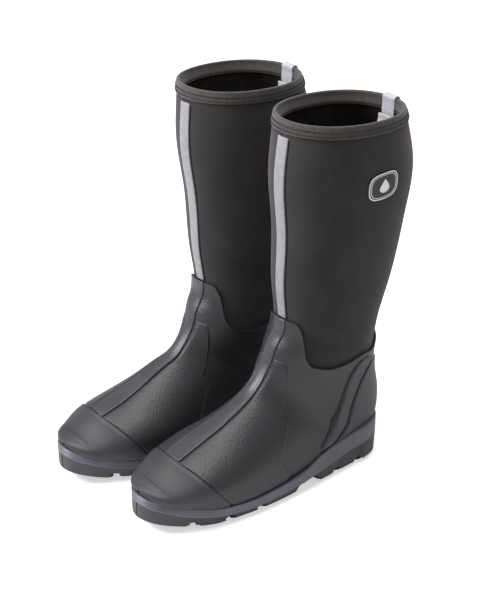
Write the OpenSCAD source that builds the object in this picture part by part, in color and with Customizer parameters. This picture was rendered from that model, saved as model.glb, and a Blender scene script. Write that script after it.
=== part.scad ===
// Pair of tall field boots: a rubber galosh moulded round a neoprene sock, with a neoprene shaft.
// The left boot is modelled and the right one is its mirror image. Toes point to -Y, the wearer's
// left is +X, and the ground is z = 0, under the middle of the pair.
//
// The upper is one smooth surface, S(t, a). Station t runs from 0 at the top edge, over the ankle,
// to 15 at the tip of the toe. Angle a runs round each section: 0 is the front of the leg, 90 the
// outer side, 180 the back of the leg and then the sole. Every layer is a wall between two offsets
// of that surface, so all of them follow the same sizes.

/* [Height and length] */
// Height of the top edge above the ground
boot_h = 416; // [340:1:500]
// Length of the upper, heel to toe
foot_l = 308; // [255:1:370]
// Height of the bend of the instep
throat_z = 163; // [140:1:185]
// Height of the toe box
toe_h = 64; // [54:1:76]

/* [Widths] */
// Front to back at the calf
calf_d = 163; // [136:1:196]
// Side to side at the calf
calf_w = 122; // [100:1:144]
// Side to side at the ankle
ankle_w = 87; // [72:1:103]
// Width of the upper at the heel
heel_w = 77; // [66:1:92]
// Width of the upper at the waist of the foot
waist_w = 82; // [70:1:96]
// Width of the upper at the ball of the foot
ball_w = 112; // [92:1:128]
// Width of the upper at the toes
toe_w = 101; // [84:1:112]
// Outward lean of the shaft at its top edge
lean = 15; // [0:1:20]

/* [Sole] */
// Height of the upper's underside at the heel
heel_z = 33; // [30:1:43]
// Height of the upper's underside at the ball
ball_z = 17; // [15:1:21]
// Height of the upper's underside at the toe
toe_z = 31; // [26:1:36]
// Height of the foremost point of the toe above its underside
tip_rise = 10; // [6:0.5:12]
// How far the tip of the tread turns up
toe_spring = 9; // [4:1:12]
// Depth of the tread grooves
tread_depth = 8; // [5:1:10]
// Width of the tread grooves
groove_w = 8; // [5:1:11]
// Thickness of the midsole
mid_t = 5.5; // [5:0.5:7]
// Thickness of the foxing band
foxing_t = 2.2; // [1.6:0.1:3.2]
// How far the foxing stands above the upper's underside
foxing_rise = 4; // [3:0.5:9]
// How much further it stands up round the heel
heel_wrap = 9; // [0:0.5:11]
// How far the lugs stand in from the edge of the sole
lug_inset = 10; // [4:0.5:12]

/* [Layers] */
// Thickness of the neoprene shaft
neoprene_t = 5; // [3.5:0.1:6.5]
// Thickness of the neoprene sock inside the foot
sock_t = 3.8; // [3:0.1:4.5]
// Thickness of the knitted lining
lining_t = 1; // [0.6:0.1:1.4]
// Thickness of the rubber galosh
rubber_t = 2.6; // [2:0.1:3.2]
// Thickness of the toe puff and heel stiffener
stiffener_t = 0.8; // [0.5:0.1:1.2]
// Thickness of the moulded rubber overlays
overlay_t = 1.2; // [0.8:0.1:1.6]
// Glue line between layers
bond = 0.3; // [0.3:0.05:0.4]

/* [Trim] */
// Width of the reflective seam tapes
tape_w = 15; // [10:1:20]
// Depth of the binding round the top edge
binding_h = 15; // [12:1:20]
// Thickness of the binding and of the webbing
webbing_t = 1.3; // [0.9:0.1:1.6]
// Width of the pull tab's webbing
tab_w = 19; // [14:1:24]
// Length of the hanging pull loop
loop_l = 62; // [45:1:75]
// How far the pull loop bows out
loop_bow = 20; // [14:1:24]
// Height of the badge
badge_h = 30; // [22:1:36]

/* [Insole] */
// Thickness of the insole board
board_t = 1.6; // [1:0.1:2.2]
// Thickness of the footbed's foam
foam_t = 4.5; // [3:0.1:5.5]
// Thickness of the footbed's cover
cover_t = 0.9; // [0.6:0.1:1.2]
// Clearance round the loose footbed
footbed_gap = 1.2; // [0.8:0.1:2]
// Length of the steel shank
shank_l = 96; // [70:1:112]

/* [Pair] */
// Distance between the two boots' centre lines
spacing = 126; // [124:1:170]
// How far the left boot stands behind the right one
stagger = 14; // [0:1:30]

/* [Hidden] */
PIECES = ["outsole", "midsole", "shank", "foxing", "neoprene_sock", "toe_puff", "heel_stiffener",
    "rubber_shell", "toe_cap", "vamp_overlay", "instep_strip", "heel_strap_outer",
    "heel_strap_inner", "heel_counter", "kick_spur", "shaft_panel_outer", "shaft_panel_inner",
    "shaft_lining", "front_seam_tape", "back_seam_tape", "top_binding", "binding_stitching",
    "pull_tab", "pull_loop", "badge", "insole_board", "footbed_foam", "footbed_cover"];
NODES = [for (side = ["left", "right"]) for (piece = PIECES) str(side, "_", piece)];
node = "all";

// offsets of each layer's faces from the surface S, which is the outside of the neoprene shaft
shell_in = bond;
shell_out = shell_in + rubber_t;
stiff_out = shell_in - bond;
stiff_in = stiff_out - stiffener_t;
sock_out = stiff_in - bond;
sock_in = sock_out - sock_t;
over_in = shell_out + 2 * bond;
over_out = over_in + overlay_t;
fox_in = over_out + 2 * bond;
fox_out = fox_in + foxing_t;
lining_out = -neoprene_t - bond;
lining_in = lining_out - lining_t;
bind_out = bond + webbing_t;
bind_in = lining_in - bond - webbing_t;
board_out = sock_in - bond;
board_in = board_out - board_t;
foam_out = board_in - bond;
foam_in = foam_out - foam_t;
cover_out = foam_in - bond;
cover_in = cover_out - cover_t;

// the upper's own surface lies inside the finished foot by the thickness of the rubber
skin = shell_out;
heel_y = 64 - skin;
toe_y = heel_y + 2 * skin - foot_l;
shaft_z = throat_z + 22;
shaft_l = boot_h - shaft_z;
throat_y = -68;
ankle_x = ankle_w / 2;
heel_x = heel_w / 2 - skin + 1;
ball_x = ball_w / 2 - skin;
toe_x = toe_w / 2 - skin;
top_z = toe_h - skin;
h_z = heel_z + skin;
b_z = ball_z + skin;
t_z = toe_z + skin;
foot_run = throat_y - 22 - toe_y;  // instep to toe, which the sections of the vamp share out

// stations: front y, front z, back y, back z, half width, centre x, upper power, lower power, and
// how far the widest line lies below the middle, as a share of the half height
STATIONS = [
    [-0.42 * calf_d, boot_h, 0.445 * calf_d, boot_h, calf_w * 0.49, lean, 2.15, 2.15, 0],
    [-0.45 * calf_d, shaft_z + 0.73 * shaft_l, 0.55 * calf_d, shaft_z + 0.73 * shaft_l,
        calf_w / 2, lean * 0.82, 2.15, 2.15, 0],
    [-0.41 * calf_d, shaft_z + 0.46 * shaft_l, 0.52 * calf_d, shaft_z + 0.46 * shaft_l,
        calf_w * 0.465, lean * 0.6, 2.15, 2.15, 0],
    [-0.4 * calf_d, shaft_z + 0.215 * shaft_l, 0.47 * calf_d, shaft_z + 0.2 * shaft_l,
        (calf_w / 2 + ankle_x) / 2, lean * 0.36, 2.15, 2.15, 0],
    [throat_y + 8, shaft_z, 60, throat_z + 8, ankle_x + 4, lean * 0.2, 2.15, 2.15, 0],
    [throat_y - 3, throat_z - 4, 58, 118, ankle_x, lean * 0.1, 2.15, 2.2, 0],
    [throat_y - 11, throat_z - 24, heel_y + 3, 77, ankle_x - 2, 0, 2.15, 2.4, 0.05],
    [throat_y - 22, throat_z - 40, heel_y - 2, h_z + 8, heel_x, 0, 2.1, 2.8, 0.12],
    [throat_y - 22 - foot_run * 0.085, throat_z - 52, heel_y - 28, h_z, heel_x, 0, 2.1, 3.8, 0.2],
    [throat_y - 22 - foot_run * 0.21, throat_z - 62, heel_y - 70, lerp(h_z, b_z, 0.3),
        waist_w / 2 - skin + 2, 2, 2.1, 4.2, 0.28],
    [throat_y - 22 - foot_run * 0.375, lerp(throat_z - 62, top_z, 0.3), heel_y - 118,
        lerp(h_z, b_z, 0.75), lerp(waist_w, ball_w, 0.42) / 2 - skin + 2, 2, 2.1, 4.2, 0.35],
    [throat_y - 22 - foot_run * 0.55, lerp(throat_z - 62, top_z, 0.58), lerp(heel_y, toe_y, 0.565),
        b_z, ball_x, 1, 2.1, 4.2, 0.38],
    [throat_y - 22 - foot_run * 0.705, lerp(throat_z - 62, top_z, 0.81), lerp(heel_y, toe_y, 0.69),
        b_z, ball_x, 2, 2.1, 4.2, 0.38],
    [toe_y + 31, top_z, toe_y + 58, lerp(b_z, t_z, 0.4) - 2, toe_x + 1, 3, 2.1, 4, 0.35],
    [toe_y + 12, top_z - 13, toe_y + 22, t_z - 3, toe_x - 13, 3, 2.15, 3.6, 0.25],
    [toe_y, t_z + tip_rise, toe_y, t_z + tip_rise, toe_x - 24, 3, 2.2, 3, 0.2]];
LAST = len(STATIONS) - 1;

function lerp(a, b, u) = a + (b - a) * u;
function spow(v, p) = sign(v) * pow(abs(v), p);
function spline(a, b, c, d, u) =
    b + 0.5 * u * ((c - a) + u * ((2 * a - 5 * b + 4 * c - d) + u * (3 * (b - c) + d - a)));
function before(i) = i > 0 ? STATIONS[i - 1] : 2 * STATIONS[0] - STATIONS[1];

// the toe closes on a quarter ellipse over the last station, eased in at the slope it is met with
function nose(u) =
    let (a = STATIONS[LAST - 1], b = STATIONS[LAST], s = sin(90 * u), c = cos(90 * u),
        k = u * pow(1 - u, 2), d = (b - STATIONS[LAST - 2]) / 2, e = (b - a) * PI / 2)
    [lerp(a[0], b[0], s) + k * (d[0] - e[0]), lerp(b[1], a[1], c) + k * d[1],
        lerp(a[2], b[2], s) + k * (d[2] - e[2]), lerp(b[3], a[3], c) + k * d[3],
        a[4] * c + k * d[4], a[5], a[6], a[7], a[8]];
function section(t) =
    t > LAST - 1 ? nose(t - LAST + 1)
    : let (i = floor(t))
        spline(before(i), STATIONS[i], STATIONS[i + 1], STATIONS[min(i + 2, LAST)], t - i);
function S(t, a) =
    let (q = section(t), c = cos(a), n = lerp(q[7], q[6], (1 + c) / 2), e = spow(c, 2 / n),
        k = e - q[8] * (1 - e * e))
    [q[5] + spow(sin(a), 2 / n) * q[4], (q[0] + q[2] + (q[0] - q[2]) * k) / 2,
        (q[1] + q[3] + (q[1] - q[3]) * k) / 2];

// a point at an offset from the surface, along its outward normal
function P(t, a, off) =
    let (h = 0.02, t1 = min(t + h, LAST - 0.02), t0 = max(t1 - 2 * h, 0),
        n = cross(S(t1, a) - S(t0, a), S(t, a + 1) - S(t, a - 1)))
    S(t, a) + off * n / norm(n);

// the station a given drop below the top edge
function drop(mm) = mm / (0.27 * shaft_l);

// seams, as stations against the angle
function ease(lo, hi, v) = let (u = min(max((v - lo) / (hi - lo), 0), 1)) u * u * (3 - 2 * u);
function round_front(a) = a > 180 ? 360 - a : a;
function shell_top(a) =
    let (b = round_front(a))
    3.8 + 1.45 * ease(22, 58, b) - 0.6 * ease(68, 116, b) - 0.4 * ease(116, 180, b);
cap_t = 12.35;
function vamp_edge(a) =
    let (b = round_front(a)) 5.4 + 2.9 * ease(26, 52, b) + 1.9 * ease(50, 95, b) + 0.3 * ease(95, 126, b);

// grid lines: whole loops every step degrees, and the same stations down the foot for all layers
step = 18;
LOOP = [for (a = [0:step:359]) a];
FOOT = [6, 6.5, 7, 7.6, 8.3, 9.2, 10.2, 11.2, 12.2, 13, 13.6, 14.1, 14.5, 14.8];
tape_top = 16 / (0.27 * shaft_l);   // where the seam tapes start, just under the binding
front_end = shell_top(0) - 0.02;    // where they stop, just above the galosh
back_end = shell_top(180) - 0.02;
SHAFT = concat([0, tape_top], [for (t = [0.6:0.6:3]) t], [3.4, front_end, 4, back_end],
    [for (t = [4.5:0.3:5.1]) t]);
function rows(ts, angles) = [for (t = ts) [for (a = angles) [t, a]]];
function arc(from, to) = [for (a = [from:step:to]) a];
function from_edge(n, angles, rest) =
    concat([for (k = [0:n - 1]) [for (a = angles) [lerp(shell_top(a), rest[0], k / n), a]]],
        rows(rest, angles));

function two(a, b, c, d) = [[a, b, c], [a, c, d]];

// a wall between two offsets of the surface over a grid of [station, angle] pairs; loop joins the
// last column to the first, closed_toe brings the last row to a point, and dip thins the outer face
module wall(grid, inner, outer, loop = false, closed_toe = false, dip = function (t, a) 0) {
    n = len(grid);
    m = len(grid[0]);
    size = n * m;
    last_col = loop ? m - 1 : m - 2;
    tip = S(LAST, 0);
    points = concat(
        [for (row = grid) for (g = row) P(g[0], g[1], outer - dip(g[0], g[1]))],
        [for (row = grid) for (g = row) P(g[0], g[1], inner)],
        closed_toe ? [tip - [0, outer, 0], tip - [0, inner, 0]] : []);
    o = function (i, j) i * m + j % m;
    k = function (i, j) size + i * m + j % m;
    skins = [for (i = [0:n - 2]) for (j = [0:last_col])
        each concat(two(o(i, j), o(i, j + 1), o(i + 1, j + 1), o(i + 1, j)),
            two(k(i, j), k(i + 1, j), k(i + 1, j + 1), k(i, j + 1)))];
    top = [for (j = [0:last_col]) each two(k(0, j), k(0, j + 1), o(0, j + 1), o(0, j))];
    z = n - 1;
    foot = closed_toe
        ? [for (j = [0:last_col]) each [[o(z, j), o(z, j + 1), 2 * size],
            [k(z, j), 2 * size + 1, k(z, j + 1)]]]
        : [for (j = [0:last_col]) each two(o(z, j), o(z, j + 1), k(z, j + 1), k(z, j))];
    ends = loop ? [] : [for (i = [0:n - 2]) each concat(
        two(o(i, 0), o(i + 1, 0), k(i + 1, 0), k(i, 0)),
        two(o(i + 1, m - 1), o(i, m - 1), k(i, m - 1), k(i + 1, m - 1)))];
    polyhedron(points, concat(skins, top, foot, ends));
}

// ---- sole ----

// the upper's underside, and the outline of the foot in plan at an offset
function under(t) = let (p = P(t, 180, shell_out)) [p[1], p[2]];
ALONG = [7.6, 8.3, 9.2, 10.2, 11.2, 12.2, 13, 13.6, 14.1, 14.5, 14.8];
UNDER = [for (t = concat([7.1], ALONG)) under(t)];
// the angle where the foxing meets the upper: at its widest line round the toe, lower down behind it
function flat_a(t) = lerp(100, 84, ease(12.6, 13.8, t));
heel_t = 6.8;   // the station of the heel's curve
function rim(t, a, off) = let (p = P(t, a, off)) [p[0], p[1]];
function outline(off) = concat(
    [for (k = [-6:6]) rim(heel_t, 180 + k * (180 - flat_a(0)) / 6, off)],
    [for (t = ALONG) rim(t, 360 - flat_a(t), off)],
    [[STATIONS[LAST][5], toe_y - off]],
    [for (i = [len(ALONG) - 1:-1:0]) rim(ALONG[i], flat_a(ALONG[i]), off)]);
sole_far = 400;

// a slab of the foot's outline between two lines of the side view, given as [y, z] points
module slab(off, lower, upper) {
    intersection() {
        linear_extrude(100) polygon(outline(off));
        side_view() polygon(concat(lower, [for (i = [len(upper) - 1:-1:0]) upper[i]]));
    }
}
module side_view(width = sole_far) {
    rotate([90, 0, 90]) linear_extrude(width, center = true) children();
}
// the underside's side view raised by a given amount, run past both ends
function level(rise, wrap = 0) = concat(
    [[heel_y + 40, UNDER[0][1] + rise + wrap]],
    [for (p = UNDER) [p[0], p[1] + rise + wrap * ease(throat_y, throat_y + 45, p[0])]],
    [[toe_y - 40, UNDER[len(UNDER) - 1][1] + rise]]);

breast_y = heel_y - 0.32 * foot_l;   // front of the heel block
tread_y = heel_y - 0.44 * foot_l;    // back of the forefoot tread
spring_y = lerp(heel_y, toe_y, 0.8);
arch_z = heel_z * 0.42;
// the line of the ground face, and the same line raised by a given lug depth
function tread(up) = [[heel_y + 40, 8 + up], [heel_y + 4, 1.5 + up], [heel_y - 4, up], [breast_y, up],
    [breast_y - 9, arch_z], [tread_y + 8, arch_z * 0.75], [tread_y, up], [spring_y, up],
    [lerp(spring_y, toe_y, 0.5), toe_spring * 0.3 + up], [toe_y - 6, toe_spring + up],
    [toe_y - 40, toe_spring + 2 + up]];
heel_grooves = [lerp(heel_y, breast_y, 0.45), lerp(heel_y, breast_y, 0.8)];
groove_pitch = (tread_y - spring_y) * 0.38;
tread_grooves = [for (k = [0.95:2.95]) tread_y - k * groove_pitch];

module chevron(y, slant) {
    for (s = [-1, 1])
        translate([0, y, 0]) rotate(s * slant) translate([s > 0 ? -2 : -98, -groove_w / 2, -1])
            cube([100, groove_w, tread_depth + 1 + (y < spring_y ? toe_spring * 0.5 : 0)]);
}

module outsole() {
    color([0.17, 0.17, 0.18]) difference() {
        union() {
            slab(fox_out, tread(tread_depth * 0.6), level(-mid_t - bond));
            slab(fox_out - lug_inset, tread(0), level(-mid_t - bond));
        }
        for (y = heel_grooves) chevron(y, 10);
        for (y = tread_grooves) chevron(y, -14);
    }
}
module midsole() {
    color([0.25, 0.25, 0.26]) difference() {
        slab(fox_in - 2 * bond, level(-mid_t), level(-2 * bond));
        shank_bar(2 * bond);
    }
}
module foxing() {
    color([0.36, 0.35, 0.38]) difference() {
        slab(fox_out, level(-mid_t), level(foxing_rise, heel_wrap));
        linear_extrude(100) polygon(outline(fox_in));
    }
}
shank_w = 16;
shank_t = 1.5;
module shank_bar(gap) {
    a = under(8.6);
    b = under(10.6);
    mid = (a + b) / 2;
    translate([0, mid[0], mid[1] - mid_t / 2 - bond]) rotate([atan2(a[1] - b[1], a[0] - b[0]), 0, 0])
        cube([shank_w + 2 * gap, shank_l + 2 * gap, shank_t + 2 * gap], center = true);
}
module shank() {
    color([0.6, 0.61, 0.63]) shank_bar(0);
}

// ---- foot ----

sock_top = 5.45;
module neoprene_sock() {
    color([0.12, 0.12, 0.13])
        wall(rows(concat([sock_top, 5.72], FOOT), LOOP), sock_in, sock_out, true, true);
}
module rubber_shell() {
    color([0.24, 0.24, 0.26]) wall(from_edge(8, LOOP, FOOT), shell_in, shell_out, true, true);
}
module toe_puff() {
    color([0.5, 0.45, 0.38])
        wall(rows([for (t = FOOT) if (t >= 13) t], arc(-108, 108)), stiff_in, stiff_out);
}
module heel_stiffener() {
    color([0.5, 0.45, 0.38]) wall(rows([6, 6.5, 7], arc(108, 252)), stiff_in, stiff_out);
}
module toe_cap() {
    cols = arc(-108, 108);
    color([0.22, 0.22, 0.24])
        wall(rows(concat([cap_t], [for (t = FOOT) if (t >= 13) t]), cols), over_in, over_out);
}
// the two side wings of the second layer over the vamp, either side of the instep strip
strip_a = 10;
module vamp_wing(cols) {
    n = 7;
    wall([for (k = [0:n]) [for (a = cols) [lerp(vamp_edge(a), cap_t - 0.06, k / n), a]]],
        over_in, over_out);
}
module vamp_overlay() {
    cols = concat([strip_a + 1], arc(18, 108));
    color([0.23, 0.23, 0.25]) {
        vamp_wing(cols);
        vamp_wing([for (i = [len(cols) - 1:-1:0]) 360 - cols[i]]);
    }
}
module instep_strip() {
    ts = concat([for (k = [0:3]) lerp(shell_top(0), 6, k / 4)], [for (t = FOOT) if (t < 12) t],
        [cap_t - 0.06]);
    color([0.27, 0.27, 0.29]) wall(rows(ts, [-strip_a + 1, 0, strip_a - 1]), over_in, over_out);
}
// a band from the back of the leg down to the sole, between a front line and a rear line
function strap_front(u) = [lerp(4.75, 9.25, u), 90 + 24 * pow(1 - u, 8) + 13 * pow(u, 5)];
function strap_rear(u) = [lerp(4.85, 8.85, u), 96 + 36 * pow(1 - u, 6) + 14 * pow(u, 4)];
strap_n = 14;
strap_end = 0.95;   // the straps and the counter stop just above the sole
module heel_strap(side) {
    grid = [for (k = [0:strap_n]) let (u = strap_end * k / strap_n, f = strap_front(u), r = strap_rear(u))
        side > 0 ? [f, [(f[0] + r[0]) / 2, (f[1] + r[1]) / 2], r]
        : [[r[0], 360 - r[1]], [(f[0] + r[0]) / 2, 360 - (f[1] + r[1]) / 2], [f[0], 360 - f[1]]]];
    color([0.3, 0.3, 0.32]) wall(grid, over_in, over_out);
}
module heel_strap_outer() {
    heel_strap(1);
}
module heel_strap_inner() {
    heel_strap(-1);
}
module heel_counter() {
    n = 10;
    grid = [for (k = [0:n]) let (u = lerp(0.03, strap_end - 0.12, k / n), r = strap_rear(u), half = 178 - r[1],
        mid = lerp(4.75, 6.6, u))
        [for (v = [-1:0.2:1.01]) [lerp(mid, r[0], v * v), 180 + v * half]]];
    color([0.3, 0.3, 0.32]) wall(grid, over_in + bond, over_out);
}
spur_out = 4;
module kick_spur() {
    color([0.26, 0.26, 0.28])
        wall(rows([5.86, 6, 6.14], [164, 172, 180, 188, 196]), over_out + bond, over_out + bond + spur_out);
}

// ---- shaft ----

seam_gap = 0.4;
skive = 2 * bond;   // how much the neoprene is thinned where the rubber covers it
module shaft_panel(cols) {
    color([0.11, 0.11, 0.12]) wall(rows(concat(SHAFT, [sock_top - 0.03]), cols), -neoprene_t, 0,
        dip = function (t, a) skive * ease(shell_top(a) - 0.3, shell_top(a) - 0.02, t));
}
module shaft_panel_outer() {
    shaft_panel(concat([seam_gap], arc(18, 162), [180 - seam_gap]));
}
module shaft_panel_inner() {
    shaft_panel(concat([180 + seam_gap], arc(198, 342), [360 - seam_gap]));
}
module shaft_lining() {
    color([0.07, 0.07, 0.08])
        wall(rows(concat(SHAFT, [sock_top - 0.03]), LOOP), lining_in, lining_out, true);
}
tape_t = 0.9;
module seam_tape(mid, end) {
    half = tape_w / 2 / (calf_w / 2) * 57;
    ts = [for (t = SHAFT) if (t >= tape_top && t <= end) t];
    color([0.55, 0.55, 0.57]) wall(rows(ts, [mid - half, mid, mid + half]), bond, bond + tape_t);
}
module front_seam_tape() {
    seam_tape(0, front_end);
}
module back_seam_tape() {
    seam_tape(180, back_end);
}

// a band folded over the top edge; each section is a list of [offset, drop] pairs
crest = 2.6;   // how far the fold stands above the wall
BINDING = [[bond, -crest + 2 * webbing_t - 1.2], [bond, binding_h], [bind_out, binding_h], [bind_out, 0],
    [bind_out - 1.4, -crest + 0.4], [(bind_in + bind_out) / 2, -crest], [bind_in + 1.4, -crest + 0.4],
    [bind_in, 0], [bind_in, binding_h], [lining_in - bond, binding_h],
    [lining_in - bond, -crest + 2 * webbing_t - 1.2]];
function rim_point(a, off, down) =
    down >= 0 ? P(drop(down), a, off) : P(0, a, off) + [0, 0, -down];
module top_binding() {
    n = len(BINDING);
    m = len(LOOP);
    color([0.3, 0.28, 0.26]) polyhedron(
        [for (a = LOOP) for (b = BINDING) rim_point(a, b[0], b[1])],
        [for (i = [0:m - 1]) for (j = [0:n - 1]) let (i2 = (i + 1) % m, j2 = (j + 1) % n)
            each two(i * n + j, i2 * n + j, i2 * n + j2, i * n + j2)]);
}
stitch_in = bind_out + 0.2;
stitch_out = stitch_in + 0.5;
module binding_stitching() {
    color([0.2, 0.19, 0.18]) for (d = [binding_h - 4, binding_h - 2])
        wall(rows([drop(d), drop(d + 0.8)], LOOP), stitch_in, stitch_out, true);
}

// ---- pull tab and loop, in a frame at the back of the top edge: y outwards, z up the wall ----

back_tilt = let (a = S(0, 180), b = S(drop(binding_h), 180)) atan2(b[1] - a[1], a[2] - b[2]);
module at_back() {
    translate(S(0, 180)) rotate([back_tilt, 0, 0]) children();
}
curve_room = 1.1;   // the rim's own curve across the width of the tab
tab_out = stitch_out + bond;
tab_in = bind_in - bond - curve_room;
tab_top = crest + 2 * bond + 0.6;
tab_h = 17;
module pull_tab() {
    t = webbing_t;
    color([0.8, 0.8, 0.82]) at_back() side_view(tab_w) polygon([[tab_out, -tab_h], [tab_out + t, -tab_h],
        [tab_out + t, tab_top - 1], [tab_out, tab_top + t], [tab_in, tab_top + t],
        [tab_in - t, tab_top - 1], [tab_in - t, -tab_h], [tab_in, -tab_h], [tab_in, tab_top],
        [tab_out, tab_top]]);
}
hinge_off = 3.2;   // the loop's fold hangs this far in front of the tab, and the loop hangs plumb
hinge_y = tab_in - webbing_t - hinge_off;
hinge_z = -tab_h + 2;
function loop_mid(f) = let (s = sin(f) * pow(sin(f / 2), 2))
    [-loop_bow * 1.3 * (s > 0 ? s : s * 0.12), -loop_l / 2 * (1 - cos(f)) - 1.6];
function loop_side(f, off) = let (a = loop_mid(f - 2), b = loop_mid(f + 2), d = (b - a) / norm(b - a))
    loop_mid(f) + off * [-d[1], d[0]];
fold_f = 24;     // where the two runs of the loop come together in the fold
gap_f = 42;      // where they part
fold_h = 8;
module pull_loop() {
    t = webbing_t;
    outer = [for (f = [fold_f:12:360 - fold_f]) loop_side(f, -t / 2)];
    color([0.78, 0.78, 0.8]) at_back() translate([0, hinge_y, hinge_z]) rotate([-back_tilt, 0, 0])
        side_view(tab_w)
        difference() {
            polygon(concat(outer, [[t, -fold_h / 2], [t, 1], [-t, 1], [-t, -fold_h / 2]]));
            polygon([for (f = [gap_f:12:360 - gap_f]) loop_side(f, t / 2)]);
        }
}

// ---- badge: an oval on the outer side of the leg ----

badge_t = 1.1;
badge_a = 94;
badge_rise = badge_h / 2 / (0.27 * shaft_l);
badge_turn = 17;
module badge() {
    ring = [for (f = [0:30:359]) f];
    n = len(ring);
    spot = function (r, f, off) P(badge_t - badge_rise * r * cos(f), badge_a + badge_turn * r * sin(f), off);
    shape = function (off) concat([spot(0, 0, off)], [for (f = ring) spot(0.5, f, off)],
        [for (f = ring) spot(1, f, off)]);
    low = 2 * n + 1;
    color([0.13, 0.13, 0.14]) polyhedron(concat(shape(bond + 0.9), shape(bond)),
        [for (i = [0:n - 1]) let (a = 1 + i, b = 1 + (i + 1) % n) each concat(
            [[0, a, b], [low, low + b, low + a]],
            two(a, a + n, b + n, b), two(low + a, low + b, low + b + n, low + a + n),
            two(a + n, low + a + n, low + b + n, b + n))]);
}

// ---- inside the foot ----

BED = [for (t = FOOT) if (t > 7 && t < 14.3) t];
module bed_layer(inner, outer, side_room) {
    half = 36 - side_room;
    ts = [for (t = BED) if (side_room == 0 || t < 14) t];   // the loose footbed stops short of the toe
    wall(rows(ts, [for (k = [-2:2]) 180 + k * half / 2]), inner, outer);
}
module insole_board() {
    color([0.55, 0.48, 0.36]) bed_layer(board_in, board_out, 0);
}
module footbed_foam() {
    color([0.2, 0.2, 0.22]) bed_layer(foam_in, foam_out, footbed_gap);
}
module footbed_cover() {
    color([0.13, 0.13, 0.15]) bed_layer(cover_in, cover_out, 3 * footbed_gap);
}

// ---- the pair ----

// the origin is under the middle of the pair's bounding box
tape_out = bond + tape_t;
front_y = min([for (p = outline(fox_out)) p[1]]);
back_y = max([for (t = [0:0.1:3]) P(t, 180, tape_out)[1]]);
middle_y = (front_y + back_y) / 2;
module boot(side) {
    wanted = function (piece) node == "all" || node == str(side, "_", piece);
    if (wanted("outsole")) outsole();
    if (wanted("midsole")) midsole();
    if (wanted("shank")) shank();
    if (wanted("foxing")) foxing();
    if (wanted("neoprene_sock")) neoprene_sock();
    if (wanted("toe_puff")) toe_puff();
    if (wanted("heel_stiffener")) heel_stiffener();
    if (wanted("rubber_shell")) rubber_shell();
    if (wanted("toe_cap")) toe_cap();
    if (wanted("vamp_overlay")) vamp_overlay();
    if (wanted("instep_strip")) instep_strip();
    if (wanted("heel_strap_outer")) heel_strap_outer();
    if (wanted("heel_strap_inner")) heel_strap_inner();
    if (wanted("heel_counter")) heel_counter();
    if (wanted("kick_spur")) kick_spur();
    if (wanted("shaft_panel_outer")) shaft_panel_outer();
    if (wanted("shaft_panel_inner")) shaft_panel_inner();
    if (wanted("shaft_lining")) shaft_lining();
    if (wanted("front_seam_tape")) front_seam_tape();
    if (wanted("back_seam_tape")) back_seam_tape();
    if (wanted("top_binding")) top_binding();
    if (wanted("binding_stitching")) binding_stitching();
    if (wanted("pull_tab")) pull_tab();
    if (wanted("pull_loop")) pull_loop();
    if (wanted("badge")) badge();
    if (wanted("insole_board")) insole_board();
    if (wanted("footbed_foam")) footbed_foam();
    if (wanted("footbed_cover")) footbed_cover();
}
translate([spacing / 2, stagger / 2 - middle_y, 0]) boot("left");
translate([-spacing / 2, -stagger / 2 - middle_y, 0]) mirror([1, 0, 0]) boot("right");
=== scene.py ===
import bmesh
import bpy
import numpy as np
from mathutils import Matrix, Vector


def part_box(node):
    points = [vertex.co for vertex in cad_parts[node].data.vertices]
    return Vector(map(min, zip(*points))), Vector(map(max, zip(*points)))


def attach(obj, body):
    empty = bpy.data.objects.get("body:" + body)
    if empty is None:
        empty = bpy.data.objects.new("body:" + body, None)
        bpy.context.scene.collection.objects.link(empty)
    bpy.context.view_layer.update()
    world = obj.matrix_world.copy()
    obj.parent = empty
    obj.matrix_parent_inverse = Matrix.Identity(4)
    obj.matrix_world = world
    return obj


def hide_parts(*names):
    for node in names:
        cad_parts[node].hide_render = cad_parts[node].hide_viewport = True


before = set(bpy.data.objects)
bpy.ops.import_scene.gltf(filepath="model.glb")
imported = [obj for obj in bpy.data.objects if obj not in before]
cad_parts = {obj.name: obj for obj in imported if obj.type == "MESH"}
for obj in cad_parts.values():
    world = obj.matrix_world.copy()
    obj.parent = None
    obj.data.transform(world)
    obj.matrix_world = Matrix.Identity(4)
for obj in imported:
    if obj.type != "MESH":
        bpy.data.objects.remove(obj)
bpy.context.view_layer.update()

# --- Neoprene shaft panels ---
# The leg is two panels of 5 mm foamed neoprene with a knitted face, butted and glued front and back.
# They follow the last: a smooth tube, S, from the top edge (station 0) over the ankle to the tip of the
# toe (station 15), with angle 0 at the front of the leg, 90 on its outer side and 180 at the back.
BOOT_H, FOOT_L, THROAT_Z, TOE_H = 416.0, 308.0, 163.0, 64.0
CALF_D, CALF_W, ANKLE_W, HEEL_W = 163.0, 122.0, 87.0, 77.0
WAIST_W, BALL_W, TOE_W, LEAN = 82.0, 112.0, 101.0, 15.0
HEEL_Z, BALL_Z, TOE_Z, TIP_RISE = 33.0, 17.0, 31.0, 10.0
SKIN = 2.9
HEEL_Y = 64 - SKIN
TOE_Y = HEEL_Y + 2 * SKIN - FOOT_L
SHAFT_Z = THROAT_Z + 22
SHAFT_L = BOOT_H - SHAFT_Z
THROAT_Y = -68
FOOT_RUN = THROAT_Y - 22 - TOE_Y
TOP_Z, H_Z, B_Z, T_Z = TOE_H - SKIN, HEEL_Z + SKIN, BALL_Z + SKIN, TOE_Z + SKIN
ANKLE_X, HEEL_X = ANKLE_W / 2, HEEL_W / 2 - SKIN + 1
BALL_X, TOE_X = BALL_W / 2 - SKIN, TOE_W / 2 - SKIN
INSTEP_Z = THROAT_Z - 62
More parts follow.
